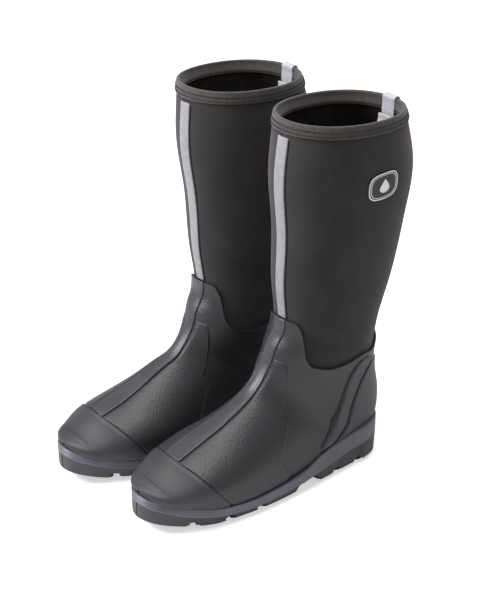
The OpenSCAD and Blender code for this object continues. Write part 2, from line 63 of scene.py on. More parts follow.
# front y and z, back y and z, half width, centre x, upper power, lower power, sag of the widest line
LAST = np.array([
    [-0.42 * CALF_D, BOOT_H, 0.445 * CALF_D, BOOT_H, CALF_W * 0.49, LEAN, 2.15, 2.15, 0],
    [-0.45 * CALF_D, SHAFT_Z + 0.73 * SHAFT_L, 0.55 * CALF_D, SHAFT_Z + 0.73 * SHAFT_L,
     CALF_W / 2, LEAN * 0.82, 2.15, 2.15, 0],
    [-0.41 * CALF_D, SHAFT_Z + 0.46 * SHAFT_L, 0.52 * CALF_D, SHAFT_Z + 0.46 * SHAFT_L,
     CALF_W * 0.465, LEAN * 0.6, 2.15, 2.15, 0],
    [-0.4 * CALF_D, SHAFT_Z + 0.215 * SHAFT_L, 0.47 * CALF_D, SHAFT_Z + 0.2 * SHAFT_L,
     (CALF_W / 2 + ANKLE_X) / 2, LEAN * 0.36, 2.15, 2.15, 0],
    [THROAT_Y + 8, SHAFT_Z, 60, THROAT_Z + 8, ANKLE_X + 4, LEAN * 0.2, 2.15, 2.15, 0],
    [THROAT_Y - 3, THROAT_Z - 4, 58, 118, ANKLE_X, LEAN * 0.1, 2.15, 2.2, 0],
    [THROAT_Y - 11, THROAT_Z - 24, HEEL_Y + 3, 77, ANKLE_X - 2, 0, 2.15, 2.4, 0.05],
    [THROAT_Y - 22, THROAT_Z - 40, HEEL_Y - 2, H_Z + 8, HEEL_X, 0, 2.1, 2.8, 0.12],
    [THROAT_Y - 22 - FOOT_RUN * 0.085, THROAT_Z - 52, HEEL_Y - 28, H_Z, HEEL_X, 0, 2.1, 3.8, 0.2],
    [THROAT_Y - 22 - FOOT_RUN * 0.21, INSTEP_Z, HEEL_Y - 70, H_Z + 0.3 * (B_Z - H_Z),
     WAIST_W / 2 - SKIN + 2, 2, 2.1, 4.2, 0.28],
    [THROAT_Y - 22 - FOOT_RUN * 0.375, INSTEP_Z + 0.3 * (TOP_Z - INSTEP_Z), HEEL_Y - 118,
     H_Z + 0.75 * (B_Z - H_Z), (WAIST_W + 0.42 * (BALL_W - WAIST_W)) / 2 - SKIN + 2,
     2, 2.1, 4.2, 0.35],
    [THROAT_Y - 22 - FOOT_RUN * 0.55, INSTEP_Z + 0.58 * (TOP_Z - INSTEP_Z),
     HEEL_Y + 0.565 * (TOE_Y - HEEL_Y), B_Z, BALL_X, 1, 2.1, 4.2, 0.38],
    [THROAT_Y - 22 - FOOT_RUN * 0.705, INSTEP_Z + 0.81 * (TOP_Z - INSTEP_Z),
     HEEL_Y + 0.69 * (TOE_Y - HEEL_Y), B_Z, BALL_X, 2, 2.1, 4.2, 0.38],
    [TOE_Y + 31, TOP_Z, TOE_Y + 58, B_Z + 0.4 * (T_Z - B_Z) - 2, TOE_X + 1, 3, 2.1, 4, 0.35],
    [TOE_Y + 12, TOP_Z - 13, TOE_Y + 22, T_Z - 3, TOE_X - 13, 3, 2.15, 3.6, 0.25],
    [TOE_Y, T_Z + TIP_RISE, TOE_Y, T_Z + TIP_RISE, TOE_X - 24, 3, 2.2, 3, 0.2]])
TIP = len(LAST) - 1
SHAFT_END = 5.42
NEOPRENE_T, PANEL_TOP, GLUE_GAP = 5.0, 0.15, 0.3


def power(v, p):
    return np.sign(v) * np.abs(v) ** p


def section(t):
    """The last's nine section values at each station t: a smooth curve, closed by a quarter ellipse."""
    t = np.asarray(t, float)
    i = np.clip(np.floor(t).astype(int), 0, TIP - 1)
    u = (t - i)[..., None]
    a = np.where((i > 0)[..., None], LAST[i - 1], 2 * LAST[0] - LAST[1])
    b, c, d = LAST[i], LAST[i + 1], LAST[np.minimum(i + 2, TIP)]
    q = b + 0.5 * u * ((c - a) + u * ((2 * a - 5 * b + 4 * c - d) + u * (3 * (b - c) + d - a)))
    w = np.clip(t - TIP + 1, 0, 1)[..., None]
    s, k = np.sin(w * np.pi / 2), np.cos(w * np.pi / 2)
    e, f = LAST[TIP - 1], LAST[TIP]
    y, z, half = e + (f - e) * s, f + (e - f) * k, e * k
    ease_in = w * (1 - w) ** 2
    slope = (f - LAST[TIP - 2]) / 2
    y = y + (slope - (f - e) * np.pi / 2) * ease_in
    z, half = z + slope * ease_in, half + slope * ease_in
    cap = np.stack([y[..., 0], z[..., 1], y[..., 2], z[..., 3], half[..., 4]], -1)
    cap = np.concatenate([cap, np.broadcast_to(e[5:], cap.shape[:-1] + (4,))], -1)
    return np.where(w > 0, cap, q)


def last_point(t, a):
    q, r = section(t), np.radians(a)
    c = np.cos(r)
    n = q[..., 7] + (q[..., 6] - q[..., 7]) * (1 + c) / 2
    e = power(c, 2 / n)
    k = e - q[..., 8] * (1 - e * e)
    return np.stack([q[..., 5] + power(np.sin(r), 2 / n) * q[..., 4],
                     (q[..., 0] + q[..., 2] + (q[..., 0] - q[..., 2]) * k) / 2,
                     (q[..., 1] + q[..., 3] + (q[..., 1] - q[..., 3]) * k) / 2], -1)


def on_last(t, a, off):
    """Points in metres that stand off mm outside the last, in the left boot's own frame."""
    t, a, off = np.broadcast_arrays(np.asarray(t, float), np.asarray(a, float), np.asarray(off, float))
    t1 = np.minimum(t + 0.02, TIP - 0.02)
    t0 = np.maximum(t1 - 0.04, 0)
    n = np.cross(last_point(t1, a) - last_point(t0, a), last_point(t, a + 1) - last_point(t, a - 1))
    n /= np.maximum(np.linalg.norm(n, axis=-1), 1e-9)[..., None]
    return (last_point(t, a) + off[..., None] * n) / 1000


def smooth(lo, hi, v):
    u = np.clip((v - lo) / (hi - lo), 0, 1)
    return u * u * (3 - 2 * u)


ONE_DEGREE, ONE_STATION = 0.0012, 0.042  # metres on the surface


def sheet_on_last(bm, across, along, lay, closed=False):
    """A grid of across by along faces laid on the last: lay(u, v) gives each point's station, angle and
    height off the last. The UV map "lay" holds metres across and along."""
    grid = bmesh.ops.create_grid(bm, x_segments=across, y_segments=along, size=1)["verts"]
    uv = (np.array([v.co[:2] for v in grid]) + 1) / 2
    t, a, off = lay(uv[:, 0], uv[:, 1])
    points = on_last(t, a, off)
    for v, p in zip(grid, points):
        v.co = p
    faces = list({f for v in grid for f in v.link_faces})
    bmesh.ops.reverse_faces(bm, faces=faces)
    metres = {v: (aa * ONE_DEGREE, tt * ONE_STATION)
              for v, aa, tt in zip(grid, np.broadcast_to(a, t.shape), t)}
    lay_map = bm.loops.layers.uv.get("lay") or bm.loops.layers.uv.new("lay")
    for f in faces:
        for loop in f.loops:
            loop[lay_map].uv = metres[loop.vert]
    if closed:
        bmesh.ops.remove_doubles(bm, verts=grid, dist=2e-5)


SOLE_PROUD = 7.5
OUTLINE_FRONT = (TOE_Y - SOLE_PROUD) / 1000


def place_of(side):
    """Where a boot's own frame stands: under the middle of its leg, square with the shank."""
    low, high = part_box(side + "_shank")
    x = (low.x + high.x) / 2
    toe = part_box(side + "_outsole")[0].y
    return x, toe - OUTLINE_FRONT


SIDES = ("left", "right")
CREASE_ANGLE, BEVEL_ANGLE = 0.7, 0.8


def pair(name, shape, finish, replaced=(), body="boot", wall=0, edge=0, sides=SIDES):
    """Makes a piece for the left boot and its mirror image for the right one, sets each on its boot,
    gives it its wall and rounded edge, and lets it ride there in place of its CAD pieces."""
    made = {}
    for side in sides:
        bm = bmesh.new()
        shape(bm)
        for e in bm.edges:
            e.smooth = len(e.link_faces) != 2 or e.calc_face_angle() < CREASE_ANGLE
        if side == "right":
            bmesh.ops.scale(bm, vec=(-1, 1, 1), verts=bm.verts)
            bmesh.ops.reverse_faces(bm, faces=bm.faces)
        x, y = place_of(side)
        bmesh.ops.translate(bm, vec=(x, y, 0), verts=bm.verts)
        mesh = bpy.data.meshes.new(f"{side}_{name}")
        bm.to_mesh(mesh)
        bm.free()
        mesh.materials.append(finish)
        for p in mesh.polygons:
            p.use_smooth = True
        piece = bpy.data.objects.new(f"{side}_{name}", mesh)
        bpy.context.scene.collection.objects.link(piece)
        if wall:
            m = piece.modifiers.new("wall", "SOLIDIFY")
            m.thickness, m.offset = wall / 1000, -1
        if edge:
            m = piece.modifiers.new("edge", "BEVEL")
            m.width, m.segments, m.limit_method, m.angle_limit = edge / 1000, 3, "ANGLE", BEVEL_ANGLE
        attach(piece, f"{side}_{body}")
        for node in replaced:
            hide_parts(f"{side}_{node}")
        made[side] = piece
    return made


def new_finish(name, colour, rough):
    """A material with its shader's constant values set; returns it with its nodes, links and shader."""
    made = bpy.data.materials.new(name)
    made.use_nodes = True
    nodes, links = made.node_tree.nodes, made.node_tree.links
    shader = nodes["Principled BSDF"]
    shader.inputs["Base Color"].default_value = (*colour, 1)
    shader.inputs["Roughness"].default_value = rough
    return made, nodes, links, shader


def lay_coordinates(nodes, links, across, along):
    """The piece's own lay map, in units of across and along metres."""
    uv = nodes.new("ShaderNodeUVMap")
    uv.uv_map = "lay"
    scale = nodes.new("ShaderNodeMapping")
    scale.inputs["Scale"].default_value = (1 / across, 1 / along, 1)
    links.new(uv.outputs["UV"], scale.inputs["Vector"])
    return scale.outputs["Vector"]


def mottle(nodes, links, shader, dark, light, size, detail=4):
    """Colour drifts between dark and light in patches of about size metres."""
    where = nodes.new("ShaderNodeTexCoord")
    noise = nodes.new("ShaderNodeTexNoise")
    noise.inputs["Scale"].default_value = 1 / size
    noise.inputs["Detail"].default_value = detail
    ramp = nodes.new("ShaderNodeValToRGB")
    ramp.color_ramp.elements[0].position, ramp.color_ramp.elements[1].position = 0.35, 0.68
    ramp.color_ramp.elements[0].color = (*dark, 1)
    ramp.color_ramp.elements[1].color = (*light, 1)
    links.new(where.outputs["Object"], noise.inputs["Vector"])
    links.new(noise.outputs["Fac"], ramp.inputs["Fac"])
    links.new(ramp.outputs["Color"], shader.inputs["Base Color"])


WAVE_STEP = 6.283 / 20  # one wave of the Wave texture at scale 1


def knit(nodes, links, shader, pitch, depth, strength=0.5):
    """A knitted face: wales and courses pitch metres apart, as a bump depth metres deep."""
    where = lay_coordinates(nodes, links, pitch / WAVE_STEP, pitch / WAVE_STEP)
    heights = []
    for direction in ("X", "Y"):
        wave = nodes.new("ShaderNodeTexWave")
        wave.bands_direction = direction
        wave.inputs["Scale"].default_value = 1
        wave.inputs["Distortion"].default_value = 0.6
        links.new(where, wave.inputs["Vector"])
        heights.append(wave.outputs["Fac"])
    both = nodes.new("ShaderNodeMath")
    both.operation = "MULTIPLY"
    links.new(heights[0], both.inputs[0])
    links.new(heights[1], both.inputs[1])
    bump = nodes.new("ShaderNodeBump")
    bump.inputs["Strength"].default_value = strength
    bump.inputs["Distance"].default_value = depth
    links.new(both.outputs[0], bump.inputs["Height"])
    links.new(bump.outputs["Normal"], shader.inputs["Normal"])


neoprene, nodes, links, shader = new_finish("neoprene", (0.015, 0.0135, 0.0145), 0.85)
shader.inputs["Sheen Weight"].default_value = 0.22
shader.inputs["Sheen Roughness"].default_value = 0.5
shader.inputs["Sheen Tint"].default_value = (0.86, 0.76, 0.85, 1)
shader.inputs["Specular IOR Level"].default_value = 0.25
mottle(nodes, links, shader, (0.014, 0.0126, 0.0136), (0.021, 0.0189, 0.0204), 0.035)
knit(nodes, links, shader, 0.0011, 0.0002)


def leg_drape(t, a):
    """The soft leg's slack: shallow folds at the ankle and faint waves up the calf, in mm."""
    r = np.radians(a)
    ankle = np.exp(-((t - 4.3) / 0.55) ** 2) * np.cos(9.5 * t + 0.8 * np.cos(r)) * 0.5 * np.sin(r) ** 2
    calf = 0.35 * np.sin(2.1 * t + 1.7 * np.sin(r) + 0.6) * np.sin(1.6 * r + 0.4 * t)
    return (ankle + calf) * smooth(0, 0.8, t) * smooth(5.4, 4.9, t) * np.abs(np.sin(r))


def panel(first, last):
    def lay(u, v):
        t, a = PANEL_TOP + v * (SHAFT_END - PANEL_TOP), first + u * (last - first)
        return t, a, leg_drape(t, a)
    return lambda bm: sheet_on_last(bm, 72, 110, lay)


pair("outer_leg_panel", panel(0, 180), neoprene, ["shaft_panel_outer"], wall=NEOPRENE_T)
pair("inner_leg_panel", panel(180, 360), neoprene, ["shaft_panel_inner"], wall=NEOPRENE_T)

# --- Lining and sock ---
# A black knitted lining is bonded inside the leg. Below the ankle the same neoprene runs on as a sock,
# glued inside the rubber galosh and over the insole board.
LINING_T, SOCK_OUT, SOCK_T, SOCK_TOP = 1.0, -1.1, 3.8, 5.44
lining, nodes, links, shader = new_finish("black_lining_knit", (0.012, 0.012, 0.012), 0.95)
shader.inputs["Specular IOR Level"].default_value = 0.15
mottle(nodes, links, shader, (0.008, 0.008, 0.008), (0.016, 0.016, 0.0165), 0.02)
knit(nodes, links, shader, 0.0014, 0.0003)
pair("leg_lining", lambda bm: sheet_on_last(
    bm, 96, 70, lambda u, v: (PANEL_TOP + v * (SHAFT_END - PANEL_TOP), 360 * u,
                              -NEOPRENE_T - GLUE_GAP + 0 * u), closed=True),
    lining, ["shaft_lining"], wall=LINING_T)
pair("foot_sock", lambda bm: sheet_on_last(
    bm, 80, 90, lambda u, v: (SOCK_TOP + v * (TIP - SOCK_TOP), 360 * u, SOCK_OUT + 0 * u),
    closed=True), neoprene, ["neoprene_sock"], wall=SOCK_T)

# --- Rubber galosh ---
# The foot is a hand-laid rubber shell, 2.6 mm thick, vulcanised over the sock. It rises to a tongue at
# the front of the ankle, dips in a scallop on each side and rises again to the back of the heel.
SHELL_OUT, SHELL_T, TONGUE_T = SKIN, 2.6, 3.78


def round_front(a):
    return np.where(a > 180, 360 - a, a)


def galosh_top(a):
    b = round_front(a)
    return 3.8 + 1.45 * smooth(22, 58, b) - 0.6 * smooth(68, 116, b) - 0.4 * smooth(116, 180, b)


def leather_grain(nodes, links, shader, pebble, depth, rough_low, rough_high):
    """A moulded leather grain: pebbles of about pebble metres between fine creases, with the gloss
    broken up between rough_low and rough_high."""
    where = nodes.new("ShaderNodeTexCoord")
    pebbles = nodes.new("ShaderNodeTexVoronoi")
    pebbles.feature = "SMOOTH_F1"
    pebbles.inputs["Scale"].default_value = 1 / pebble
    fine = nodes.new("ShaderNodeTexNoise")
    fine.inputs["Scale"].default_value = 2.2 / pebble
    fine.inputs["Detail"].default_value = 3
    patches = nodes.new("ShaderNodeTexNoise")
    patches.inputs["Scale"].default_value = 0.035 / pebble
    patches.inputs["Detail"].default_value = 5
    height = nodes.new("ShaderNodeMath")
    height.operation = "MULTIPLY_ADD"
    height.inputs[1].default_value = 0.5
    for texture in (pebbles, fine, patches):
        links.new(where.outputs["Object"], texture.inputs["Vector"])
    links.new(fine.outputs["Fac"], height.inputs[0])
    links.new(pebbles.outputs["Distance"], height.inputs[2])
    bump = nodes.new("ShaderNodeBump")
    bump.inputs["Strength"].default_value = 0.6
    bump.inputs["Distance"].default_value = depth
    links.new(height.outputs[0], bump.inputs["Height"])
    links.new(bump.outputs["Normal"], shader.inputs["Normal"])
    gloss = nodes.new("ShaderNodeMapRange")
    gloss.inputs["To Min"].default_value = rough_low
    gloss.inputs["To Max"].default_value = rough_high
    links.new(patches.outputs["Fac"], gloss.inputs["Value"])
    links.new(gloss.outputs["Result"], shader.inputs["Roughness"])


galosh, nodes, links, shader = new_finish("galosh_rubber", (0.022, 0.022, 0.027), 0.46)
mottle(nodes, links, shader, (0.016, 0.016, 0.0195), (0.023, 0.023, 0.028), 0.05)
leather_grain(nodes, links, shader, 0.0016, 0.00045, 0.34, 0.5)


def galosh_lay(u, v):
    a = 360 * u
    top = galosh_top(a)
    t = top + (TIP - top) * v ** 0.92
    lip = 0.5 * smooth(0.018, 0.0, v)
    return t, a, SHELL_OUT + lip


pair("galosh", lambda bm: sheet_on_last(bm, 120, 150, galosh_lay, closed=True),
     galosh, ["rubber_shell"], wall=SHELL_T, edge=0.6)

# --- Vamp overlay, instep strip and toe cap ---
# Second layers of the same rubber are laid over the galosh: two wings on the vamp with feathered edges,
# a raised strip down the instep, and a toe cap with fine moulded ridges. All are vulcanised on.
OVER_OUT, CAP_T, STRIP_A = 4.7, 12.35, 9.0


def vamp_edge(a):
    b = round_front(a)
    return 5.4 + 2.9 * smooth(26, 52, b) + 1.9 * smooth(50, 95, b) + 0.3 * smooth(95, 126, b)


def wing(side):
    def lay(u, v):
        b = 11.0 + 117 * u
        a = b if side > 0 else 360 - b
        t0 = vamp_edge(b)
        t = t0 + (CAP_T - 0.05 - t0) * v
        feather = smooth(0.0, 0.05, v) * 0.75 + 0.25
        bead = 0.25 * np.exp(-((v - 0.05) / 0.012) ** 2)
        height = SHELL_OUT + 1.1 * feather * smooth(0, 0.025, u) + bead
        return t, a, height
    return lay


def on_both_flanks(bm, across, along, lay_for):
    """The same sheet on the outer flank, side 1, and mirrored on the inner one, side -1."""
    for side in (1, -1):
        before = set(bm.faces)
        sheet_on_last(bm, across, along, lay_for(side))
        if side < 0:
            bmesh.ops.reverse_faces(bm, faces=[f for f in bm.faces if f not in before])


pair("vamp_wings", lambda bm: on_both_flanks(bm, 60, 90, wing), galosh,
     ["vamp_overlay"], wall=1.2)

# The instep strip is coloured lighter than the galosh: a painted highlight from the light falling on it
# from above.
strip_rubber_painted_highlight, nodes, links, shader = new_finish("instep_strip_rubber", (0.05, 0.05, 0.056), 0.4)
mottle(nodes, links, shader, (0.03, 0.03, 0.036), (0.041, 0.041, 0.049), 0.05)
leather_grain(nodes, links, shader, 0.0016, 0.0003, 0.3, 0.46)


def strip_lay(u, v):
    t = TONGUE_T + (CAP_T - 0.06 - TONGUE_T) * v
    w = 2 * u - 1
    half = STRIP_A * (1 + 0.25 * smooth(6, 9, t))
    crown = 0.3 * (1 - w * w) + 0.28 * np.exp(-((np.abs(w) - 0.86) / 0.07) ** 2)
    return t, w * half, SHELL_OUT + 1.2 + crown - 1.0 * smooth(0.9, 1.0, np.abs(w))


pair("instep_strip", lambda bm: sheet_on_last(bm, 28, 150, strip_lay), strip_rubber_painted_highlight,
     ["instep_strip"], wall=1.3)

cap_rubber, nodes, links, shader = new_finish("toe_cap_rubber", (0.038, 0.037, 0.042), 0.48)
mottle(nodes, links, shader, (0.022, 0.0215, 0.0265), (0.03, 0.0295, 0.036), 0.05)
leather_grain(nodes, links, shader, 0.0016, 0.0001, 0.42, 0.58)
RIDGES = 34


def cap_lay(u, v):
    a = -128 + 256 * u
    t = CAP_T + 0.02 + (TIP - CAP_T - 0.02) * v
    ridge = 0.16 * np.sin(2 * np.pi * RIDGES * v ** 1.15)
    ridge = ridge * smooth(0.06, 0.12, v) * smooth(1.0, 0.93, v)
    return t, a, OVER_OUT - 0.2 + ridge - 0.9 * smooth(0.02, 0, v)


pair("toe_cap", lambda bm: sheet_on_last(bm, 90, 240, cap_lay), cap_rubber,
     ["toe_cap"], wall=1.5)

# --- Heel straps, heel counter and kick spur ---
# Moulded rubber bands run from the back of the ankle down to the sole on each side of a heel counter.
# Narrow grooves part them, their dark shade painted as near-black strips, and a ledge at the back is
# what the other toe kicks against.
heel_rubber, nodes, links, shader = new_finish("heel_rubber", (0.042, 0.04, 0.047), 0.45)
mottle(nodes, links, shader, (0.034, 0.032, 0.04), (0.046, 0.044, 0.054), 0.05)
leather_grain(nodes, links, shader, 0.0016, 0.00015, 0.4, 0.52)


def strap_front(u):
    return 4.75 + 4.5 * u, 90 + 24 * (1 - u) ** 8 + 13 * u ** 5


def strap_rear(u):
    return 4.85 + 4.0 * u, 96 + 36 * (1 - u) ** 6 + 14 * u ** 4


def strap(side):
    def lay(u, v):
        tf, af = strap_front(v)
        tr, ar = strap_rear(v)
        t, a = tf + (tr - tf) * u, af + (ar - af) * u
        pillow = smooth(0, 0.16, u) * smooth(1, 0.84, u)
        return t, a if side > 0 else 360 - a, SHELL_OUT + 0.2 + 1.1 * pillow
    return lay


pair("heel_straps", lambda bm: on_both_flanks(bm, 16, 80, strap), heel_rubber,
     ["heel_strap_outer", "heel_strap_inner"], wall=1.2)


def counter_lay(u, v):
    w = 2 * u - 1
    s = 0.03 + 0.94 * v
    tr, ar = strap_rear(s)
    mid = 4.75 + 2.45 * s
    pillow = smooth(1.0, 0.965, np.abs(w)) * smooth(0, 0.03, v)
    return mid + (tr - mid) * w * w, 180 + w * (177.2 - ar), SHELL_OUT + 0.2 + 1.1 * pillow


pair("heel_counter", lambda bm: sheet_on_last(bm, 90, 70, counter_lay), heel_rubber,
     ["heel_counter"], wall=1.2)

# Painted shade: a near-black finish for the grooves beside the heel straps.
groove_painted_shade, nodes, links, shader = new_finish("groove_painted_shade", (0.006, 0.006, 0.0065), 0.7)
mottle(nodes, links, shader, (0.004, 0.004, 0.0045), (0.008, 0.008, 0.0085), 0.01)


def grooves(bm):
    """Near-black strips either side of each strap: painted shade for the grooves that part the straps.
    """
    for line, shift in ((strap_front, -1.3), (strap_rear, 1.6)):
        def lay_for(side):
            def lay(u, v):
                t, a = line(0.02 + 0.95 * v)
                a = a + shift * (1 + 0.2 * np.sin(9 * v)) + 1.5 * (u - 0.5)
                return t, a if side > 0 else 360 - a, SHELL_OUT + 0.5 + 0 * u
            return lay
        on_both_flanks(bm, 2, 60, lay_for)


pair("heel_groove_painted_shade", grooves, groove_painted_shade, wall=0.4)


def spur_lay(u, v):
    w = 2 * u - 1
    ledge = np.clip(1 - (2 * v - 1) ** 4, 0, 1) ** 0.7 * np.clip(1 - w ** 6, 0, 1)
    return 5.82 + 0.36 * v, 180 + 16 * w, OVER_OUT - 0.6 + 4.0 * ledge


pair("kick_spur", lambda bm: sheet_on_last(bm, 30, 16, spur_lay), heel_rubber,
     ["kick_spur"], wall=1.0)

# --- Sole ---
# A foxing band is wrapped round the join of upper and sole. Under it lie the midsole and a moulded
# outsole, with a heel block, a high arch and cleats cut by V-shaped grooves that open at the sides.
FOX_IN, FOX_OUT, FOX_RISE, HEEL_WRAP = -1.5, SOLE_PROUD, 4.0, 9.0
MID_T, FLAT_A, N_SIDE, N_HEEL = 5.5, 112, 110, 30
TREAD_D, GROOVE_W, LUG_INSET, ROOT_INSET, SOLE_HALF, CLEAT_SHARE = 8.0, 10.5, 10.0, 2, 46, 0.6
BREAST_Y, TREAD_Y, ARCH_Z = HEEL_Y - 0.32 * FOOT_L, HEEL_Y - 0.44 * FOOT_L, HEEL_Z * 0.42
SPRING, SPRING_Y = 9.0, HEEL_Y + 0.8 * (TOE_Y - HEEL_Y)
TREAD_LINE = np.array([
    [HEEL_Y + 40, 8], [HEEL_Y + 4, 1.5], [HEEL_Y - 4, 0], [BREAST_Y, 0], [BREAST_Y - 9, ARCH_Z],
    [TREAD_Y + 8, ARCH_Z * 0.75], [TREAD_Y, 0], [SPRING_Y, 0], [(SPRING_Y + TOE_Y) / 2, SPRING * 0.3],
    [TOE_Y - 6, SPRING], [TOE_Y - 40, SPRING + 2]])[::-1]


def outline(off):
    """The sole's outline in plan, in mm, off mm outside the last: out along the outer side, back along
    the inner one and round the heel."""
    t = 7 + 7.99 * np.linspace(0, 1, N_SIDE) ** 0.9
    heel = np.linspace(360 - FLAT_A, FLAT_A, N_HEEL)[1:-1]
    ts = np.concatenate([t, t[::-1], np.full(N_HEEL - 2, 7.0)])
    angles = np.concatenate([np.full(N_SIDE, FLAT_A), np.full(N_SIDE, 360 - FLAT_A), heel])
    p = on_last(ts, angles, off) * 1000
    return p[:, 0], p[:, 1], ts


under_p = on_last(np.linspace(7.1, 14.4, 60), np.full(60, 180.0), SHELL_OUT)[::-1] * 1000
under_y = np.concatenate([[TOE_Y - 9], under_p[:, 1]])
under_h = np.concatenate([[TOE_Z + 6.0], under_p[:, 2]])


def under_z(y):
    """Height of the upper's underside: it runs on past the tip of the toe in the same sweep."""
    return np.interp(y, under_y, under_h)


def tread_z(y):
    return np.interp(y, TREAD_LINE[:, 0], TREAD_LINE[:, 1])


def ring_band(bm, profile):
    """A closed band round the sole's outline: profile rows of offset, rise above the upper's underside
    and how deep the row is cut at the toe. The band is taller where it wraps the heel."""
    columns = [outline(off) for off, rise, cut in profile]
    n, m = len(columns[0][0]), len(profile)
    grid = bmesh.ops.create_grid(bm, x_segments=n, y_segments=m, size=1)["verts"]
    for v in grid:
        j, i = round((v.co.x + 1) / 2 * n) % n, round((v.co.y + 1) / 2 * m) % m
        x, y, ts = columns[i]
        off, rise, cut = profile[i]
        depth = cut * float(smooth(12.2, 13.2, ts[j]))
        inward = Vector((0 - x[j], -90 - y[j], 0)).normalized() * depth
        at_heel = smooth(THROAT_Y, THROAT_Y + 45, y[j])
        wrap = HEEL_WRAP * at_heel * (rise + MID_T) / (FOX_RISE + MID_T)
        v.co = Vector((x[j], y[j], under_z(y[j]) + rise + wrap)) / 1000 + inward / 1000
    bmesh.ops.remove_doubles(bm, verts=grid, dist=1e-6)
    bmesh.ops.recalc_face_normals(bm, faces=bm.faces)


foxing_rubber, nodes, links, shader = new_finish("foxing_rubber", (0.085, 0.078, 0.098), 0.4)
mottle(nodes, links, shader, (0.09, 0.083, 0.107), (0.122, 0.113, 0.145), 0.04)
leather_grain(nodes, links, shader, 0.0009, 0.00006, 0.36, 0.5)
FOXING = [(FOX_IN, 0, 0), (FOX_IN, FOX_RISE - 1.2, 0), (FOX_IN + 1, FOX_RISE - 0.2, 0),
          (FOX_OUT - 2, FOX_RISE, 0), (FOX_OUT - 0.8, FOX_RISE - 0.3, 0), (FOX_OUT, FOX_RISE - 1.3, 0)]
for line in (1.4, -0.7, -2.8):
    FOXING += [(FOX_OUT, line + 0.6, 0), (FOX_OUT, line, 0.6), (FOX_OUT, line - 0.6, 0)]
FOXING += [(FOX_OUT, -MID_T, 0), (FOX_IN, -MID_T, 0)]
pair("foxing_band", lambda bm: ring_band(bm, FOXING), foxing_rubber, ["foxing"])

tread_rubber, nodes, links, shader = new_finish("tread_rubber", (0.036, 0.034, 0.041), 0.5)
mottle(nodes, links, shader, (0.027, 0.025, 0.031), (0.04, 0.038, 0.046), 0.03)
leather_grain(nodes, links, shader, 0.0009, 0.0001, 0.42, 0.6)
side_x, side_y, side_t = outline(FOX_OUT)


def reach(y, side):
    """How far the outline reaches sideways at y, in mm: side 1 is the outer side, -1 the inner one."""
    flank = slice(0, N_SIDE) if side > 0 else slice(N_SIDE, 2 * N_SIDE)
    xs, ys = side_x[flank], side_y[flank]
    heel_x, heel_y = side_x[2 * N_SIDE:], side_y[2 * N_SIDE:]
    keep = heel_x > 0 if side > 0 else heel_x < 0
    xs, ys = np.concatenate([xs, heel_x[keep], [0, 0]]), np.concatenate(
        [ys, heel_y[keep], [side_y.max() + 0.01, side_y.min() - 0.01]])
    order = np.argsort(ys)
    return np.interp(y, ys[order], xs[order])


REAR, FRONT = side_y.max(), side_y.min()
MIDDLE = (REAR + FRONT) / 2


def reach_in(y, side, inset):
    """The same for an outline drawn in all round by inset mm."""
    stretched = MIDDLE + (y - MIDDLE) * (REAR - FRONT) / (REAR - FRONT - 2 * inset)
    return reach(stretched, side) * (1 - inset / SOLE_HALF)


def base_z(y):
    """The floor of the grooves: the cleats stand below it, and the arch has none."""
    cleats = smooth(BREAST_Y - 12, BREAST_Y - 2, y) + smooth(TREAD_Y + 12, TREAD_Y + 2, y)
    return np.minimum(tread_z(y) + CLEAT_SHARE * TREAD_D * cleats, under_z(y) - MID_T - 1.8)


GROOVE_PITCH = (TREAD_Y - SPRING_Y) * 0.38
HEEL_CUTS = [HEEL_Y + (BREAST_Y - HEEL_Y) * k for k in (0.45, 0.8)]
TOE_CUTS = [TREAD_Y - k * GROOVE_PITCH for k in (0.95, 1.95, 2.95)]
HEEL_TAN, TOE_TAN = np.tan(np.radians(10)), -np.tan(np.radians(14))
HEEL_HALF, TOE_HALF, NOTCH_D, NOTCH_HALF = 40, 48, 4.5, 5.5


def notch(y, s):
    """How far a groove bites up into the edge of the sole, in mm."""
    centres = [c + HEEL_HALF * HEEL_TAN for c in HEEL_CUTS]
    centres += [c + TOE_HALF * TOE_TAN for c in TOE_CUTS]
    return NOTCH_D * abs(s) ** 3 * sum(float(np.exp(-((y - c) / NOTCH_HALF) ** 4)) for c in centres)


def outsole_slab(bm):
    grid = bmesh.ops.create_grid(bm, x_segments=28, y_segments=220, size=1)["verts"]
    path = np.array([(-1, 1), (1, 1), (1, 0), (-1, 0), (-1, 1)], float)
    stops = np.array([0, 10, 14, 24, 28]) / 28
    for v in grid:
        u, w = (v.co.x + 1) / 2, (v.co.y + 1) / 2
        y = MIDDLE + (REAR - FRONT) / 2 * np.cos(np.pi * w)
        s, h = np.interp(u, stops, path[:, 0]), np.interp(u, stops, path[:, 1])
        left, right = reach(y, -1) * (1 - 0.06 * (1 - h)), reach(y, 1) * (1 - 0.06 * (1 - h))
        top = under_z(y) - MID_T
        low = min(base_z(y) + notch(y, s), top - 0.8)
        v.co = Vector((left + (right - left) * (s + 1) / 2, y, low + (top - low) * h)) / 1000
    bmesh.ops.remove_doubles(bm, verts=grid, dist=2e-5)
    bmesh.ops.recalc_face_normals(bm, faces=bm.faces)


pair("outsole_base", outsole_slab, tread_rubber, ["outsole", "midsole"])


